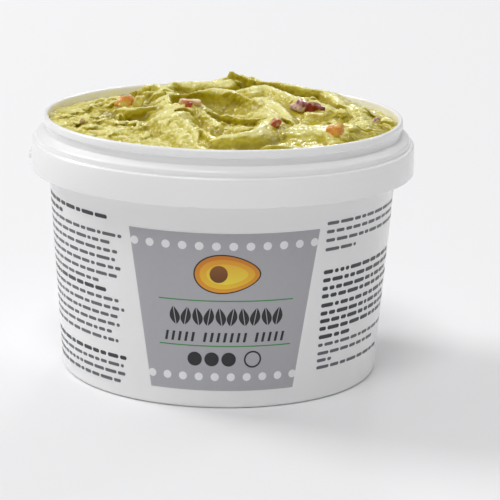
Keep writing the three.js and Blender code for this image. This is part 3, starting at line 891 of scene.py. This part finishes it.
# The skin is a round net of squares. The side and the underside are drawn down from its border
# in two rings, which lie just inside the tub's wall and floor.
guacamole = round_grid("guacamole_mash", dip_grid)
bpy.ops.object.mode_set(mode="EDIT")
bpy.ops.mesh.select_all(action="SELECT")
bpy.ops.mesh.region_to_loop()
inside_floor = foot_height + floor_thickness
for _ in range(2):
    bpy.ops.mesh.extrude_region_move(TRANSFORM_OT_translate={"value": (0, 0, -1)})
bpy.ops.mesh.edge_face_add()
bpy.ops.object.mode_set(mode="OBJECT")
places = read_places(guacamole)
wall_radius = inner_radius(tub_height - edge_below_rim)
top = places[:, 2] > -0.5
x, y = places[top, 0] * wall_radius, places[top, 1] * wall_radius
rise = dip_surface(x, y, wall_radius)
# How far each place stands out of what is around it, and how far it leans over to the front
stand_out = rise - blurred(rise, dip_grid, 3.0 * dip_grid / (2 * wall_radius))
inside = np.clip((wall_radius - np.hypot(x, y)) / 5, 0, 1)
lean = crest_lean * np.clip(stand_out, -0.6, 1.6) * inside
widen = 1 + (rise * wall_lean + wall_overlap) / wall_radius * (np.hypot(x, y) / wall_radius) ** 8
skin = np.stack([x * widen, y * widen - lean, tub_height + rise], axis=1)
net = skin.reshape(dip_grid + 1, dip_grid + 1, 3)
normals = np.cross(np.gradient(net, axis=1), np.gradient(net, axis=0)).reshape(-1, 3)
normals /= np.linalg.norm(normals, axis=1)[:, None]
normals *= np.sign(normals[:, 2:3])
# Relief laid on along the normals: broad lumps, grains and cracks, and wet streaks
lumpy = patch_share(x, y, lumpy_patches)
coarse = 1 - 0.75 * patch_share(x, y, smooth_patches)
broad = 0.3 * solid_lumps(skin, 4.2, 11) + 0.25 * coarse * solid_lumps(skin, 2.1, 12)
grains = (0.25 + 1.2 * lumpy) * 0.6 * (pebbles(skin, 3.2, 8) - 0.5)
grains += (0.7 + lumpy) * 0.45 * (pebbles(skin, 1.5, 9) - 0.5)
grains += (0.3 + lumpy) * 0.5 * (0.4 - np.abs(solid_lumps(skin, 2.8, 14)))
grains = coarse * (grains + 0.24 * solid_lumps(skin, 0.9, 10))
along = x * math.cos(streak_turn) + y * math.sin(streak_turn)
across = y * math.cos(streak_turn) - x * math.sin(streak_turn)
streaks = patch_share(x, y, streaky_patches) * lumps(along / 6, across / 1.1, 1, 16)
relief = broad + grains + 0.22 * streaks
skin += normals * (relief * inside ** 0.5)[:, None]
places[top] = skin
lower_rings = ((-1, inner_radius(inside_floor + 1.8) + 0.1, inside_floor + 1.8),
               (-2, inner_radius(inside_floor) - inside_corner, inside_floor - 0.1))
for level, ring_radius, ring_height in lower_rings:
    ring = np.abs(places[:, 2] - level) < 0.5
    places[ring, :2] *= ring_radius
    places[ring, 2] = ring_height
write_places(guacamole, places * MM)
# Painted light and shade, kept on the mesh: paler on crests, upward faces and grain tops, deeper in
# hollows
crest = guacamole.data.attributes.new("crest", "FLOAT", "POINT")
painted_light_and_shade = np.zeros(len(guacamole.data.vertices))
upper = np.clip((normals[:, 2] - 0.5) / 0.45, 0, 1)
pale = 0.28 + 0.22 * np.minimum(stand_out, 0.8) + 0.34 * upper + 0.4 * grains
painted_light_and_shade[top] = np.clip(pale, 0, 1)
crest.data.foreach_set("value", painted_light_and_shade)
bpy.ops.object.mode_set(mode="EDIT")
bpy.ops.mesh.select_all(action="SELECT")
bpy.ops.mesh.normals_make_consistent(inside=False)
bpy.ops.object.mode_set(mode="OBJECT")
bpy.ops.object.shade_smooth_by_angle(angle=math.radians(80))

# Avocado mashed by hand with lime, onion and spice: moist, a thin wet coat over a coarse grain.
# Painted light and shade: paler, yellower on crests, grains and upward faces, deeper green-yellow in
# hollows.
mash, mash_out = new_material("moist_avocado_mash")
where = add_node(mash, "ShaderNodeTexCoord").outputs["Object"]
# The painted light and shade in the crest attribute, plus a random tone, picks the colour on the ramp
painted_light_and_shade_node = add_node(mash, "ShaderNodeAttribute", {"attribute_name": "crest"})
tone_and_painted_light = add_node(mash, "ShaderNodeMath", {"operation": "MULTIPLY_ADD", 1: 0.45},
                    {0: noise(mash, where, 5, 5), 2: painted_light_and_shade_node.outputs["Fac"]})
colour = add_node(mash, "ShaderNodeValToRGB", links={"Fac": tone_and_painted_light.outputs[0]})
ramp = colour.color_ramp
ramp.elements[0].position, ramp.elements[0].color = 0.35, linear("#a08f08")
ramp.elements[1].position, ramp.elements[1].color = 0.94, linear("#efe793")
middle = ramp.elements.new(0.7)
middle.color = linear("#c0b012")
grain = add_node(mash, "ShaderNodeBump", {"Strength": 1.0, "Distance": 0.35 * MM},
                 {"Height": noise(mash, where, 1.1, 3)})
# Small ragged flecks of herb and spice, one in some of the cells that divide the mash
cells = add_node(mash, "ShaderNodeTexVoronoi", {"Scale": 1 / (3 * MM)}, {"Vector": where})
from_fleck = add_node(mash, "ShaderNodeMath", {"operation": "MULTIPLY_ADD", 1: 0.3},
                      {0: noise(mash, where, 0.5), 2: cells.outputs["Distance"]})
fleck = add_node(mash, "ShaderNodeMapRange", {"From Min": 0.28, "From Max": 0.2},
                 {"Value": from_fleck.outputs[0]})
chosen = add_node(mash, "ShaderNodeSeparateColor", links={"Color": cells.outputs["Color"]})
picked = add_node(mash, "ShaderNodeMath", {"operation": "GREATER_THAN", 1: 0.7},
                  {0: chosen.outputs["Red"]})
fleck_share = add_node(mash, "ShaderNodeMath", {"operation": "MULTIPLY"},
                       {0: fleck.outputs[0], 1: picked.outputs[0]})
fleck_colour = add_node(mash, "ShaderNodeMix", {
    "data_type": "RGBA", 6: linear("#6a5a14"), 7: linear("#b5763a")}, {0: chosen.outputs["Green"]})
mash_colour = add_node(mash, "ShaderNodeMix", {"data_type": "RGBA"}, {
    0: fleck_share.outputs[0], 6: colour.outputs["Color"], 7: fleck_colour.outputs[2]})
set_surface(mash, mash_out, {
    "Roughness": 0.42, "IOR": 1.36, "Subsurface Weight": 0.12, "Subsurface Scale": 2 * MM,
    "Subsurface Radius": (1.0, 0.85, 0.2), "Coat Weight": 0.5, "Coat Roughness": 0.08,
}, {"Base Color": mash_colour.outputs[2], "Normal": grain.outputs["Normal"]})
guacamole.data.materials.append(mash)
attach(guacamole, "root")
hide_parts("guacamole")


# The bits that show in the mash: diced pepper, red chilli, red onion and lumps of whole avocado.
# They were cut small and stirred in, so they are wet, uneven and partly covered with mash.
def diced(name, place, size, turn, tilt, uneven, seed):
    """A cut bit: a block with rounded edges, made uneven, turned and set at its place."""
    bpy.ops.object.select_all(action="DESELECT")
    bpy.ops.mesh.primitive_cube_add(size=1)
    piece = new_shape(name)
    bpy.ops.object.mode_set(mode="EDIT")
    bpy.ops.mesh.bevel(offset=0.2, segments=3, affect="EDGES")
    bpy.ops.mesh.subdivide(number_cuts=3, smoothness=0)
    bpy.ops.object.mode_set(mode="OBJECT")
    points = read_places(piece)
    outwards = points / np.linalg.norm(points, axis=1)[:, None]
    points = points * size
    points[:, 0] += 0.3 * points[:, 2]
    push = 1.4 * uneven * solid_lumps(points + 50 + seed, 1.6, seed)
    push += 0.4 * uneven * solid_lumps(points + 50, 0.6, seed + 1)
    points = points + outwards * push[:, None]
    way = Matrix.Rotation(math.radians(turn), 3, "Z") @ Matrix.Rotation(math.radians(tilt), 3, "Y")
    points = points @ np.array(way).T + np.array(place) + (0, 0, tub_height)
    write_places(piece, points * MM)
    bpy.ops.object.shade_smooth()
    return piece


def finish_bits(name, pieces, material):
    """Joins the bits of one kind into one piece and gives it its material."""
    take(*pieces)
    if len(pieces) > 1:
        bpy.ops.object.join()
    pieces[0].name = name
    pieces[0].data.materials.append(material)
    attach(pieces[0], "root")


def wet_flesh(name, deep, pale, smear, share):
    """Wet cut flesh: its own colour, deep to pale in soft blotches, with mash smeared over a
    share of it, and a thin coat of juice that glints."""
    material, out = new_material(name)
    place = add_node(material, "ShaderNodeTexCoord").outputs["Object"]
    own = add_node(material, "ShaderNodeValToRGB", links={"Fac": noise(material, place, 1.6, 3)})
    own.color_ramp.elements[0].position, own.color_ramp.elements[0].color = 0.36, linear(deep)
    own.color_ramp.elements[1].position, own.color_ramp.elements[1].color = 0.66, linear(pale)
    smeared = noise(material, place, 2.2, 4)
    cover = add_node(material, "ShaderNodeMapRange", {
        "From Min": 0.62 - 0.3 * share, "From Max": 0.72 - 0.3 * share}, {"Value": smeared})
    both = add_node(material, "ShaderNodeMix", {"data_type": "RGBA", 7: linear(smear)},
                    {0: cover.outputs[0], 6: own.outputs["Color"]})
    rough_skin = add_node(material, "ShaderNodeBump", {"Strength": 0.6, "Distance": 0.2 * MM},
                          {"Height": smeared})
    set_surface(material, out, {
        "Roughness": 0.35, "IOR": 1.38, "Subsurface Weight": 0.2, "Subsurface Scale": 1 * MM,
        "Coat Weight": 0.4, "Coat Roughness": 0.08,
    }, {"Base Color": both.outputs[2], "Normal": rough_skin.outputs["Normal"]})
    return material


# Orange pepper, diced
finish_bits("orange_pepper_dice", [
    diced("pepper_dice_left", (-28.8, 1.6, 2.7), (4.4, 3.4, 3.6), 15, 12, 0.6, 31),
    diced("pepper_dice_right", (31.6, -30.8, 1.0), (5, 3.4, 4.6), -30, -16, 0.45, 32),
], wet_flesh("wet_orange_pepper", "#d67c2c", "#f2b052", "#d6c45a", 0.4))
# Red chilli, chopped, and a pale flake of it
finish_bits("red_chilli_bits", [
    diced("chilli_drop", (-10.2, -17.2, 5.3), (1.7, 1.5, 2.2), 0, 0, 0.25, 33),
    diced("chilli_chip", (14.4, -32.2, 3.0), (2.5, 2.2, 4.2), 10, 14, 0.35, 34),
], wet_flesh("wet_red_chilli", "#942308", "#c8602c", "#d0ab66", 0.4))
finish_bits("pale_chilli_flake", [
    diced("chilli_flake", (-9.8, -15.2, 6.2), (6.4, 3.4, 1.5), 4, 3, 0.35, 35),
], wet_flesh("wet_pale_chilli", "#dd9d6e", "#ebc79c", "#dccf84", 0.5))
# Red onion: a piece and two shreds, and the dark end of the piece
finish_bits("red_onion_bits", [
    diced("onion_shred_right", (44.6, -8.5, 0.6), (2.2, 1.4, 1.2), 30, 10, 0.3, 41),
    diced("onion_shred_left", (-40.5, -17, 0.4), (1.8, 1.3, 1.4), -20, 0, 0.3, 42),
    diced("onion_piece", (23, 0, 3.0), (5, 3, 3.6), -25, 20, 0.5, 36),
], wet_flesh("wet_red_onion", "#9a4a5c", "#e8c2bc", "#d8cf9a", 0.3))
finish_bits("dark_onion_bits", [
    diced("onion_skin", (27.2, -2, 2.1), (5.6, 3.4, 3.8), -20, 18, 0.5, 37),
], wet_flesh("wet_dark_onion", "#6c150c", "#a23c2e", "#b98f58", 0.2))
# Lumps of avocado that stayed whole
finish_bits("avocado_lumps", [
    diced("avocado_nub", (-25.2, 1, 2.8), (2.7, 2.5, 3.6), 0, 0, 0.35, 38),
    diced("avocado_piece", (26.5, -10, 1.3), (6, 3.4, 2.8), 4, 4, 0.4, 39),
    diced("avocado_end", (35.6, -26.8, 1.1), (2.6, 2.2, 1.8), 30, 0, 0.3, 40),
], wet_flesh("wet_avocado_lump", "#cdbf48", "#f0e896", "#d6c85a", 0.4))
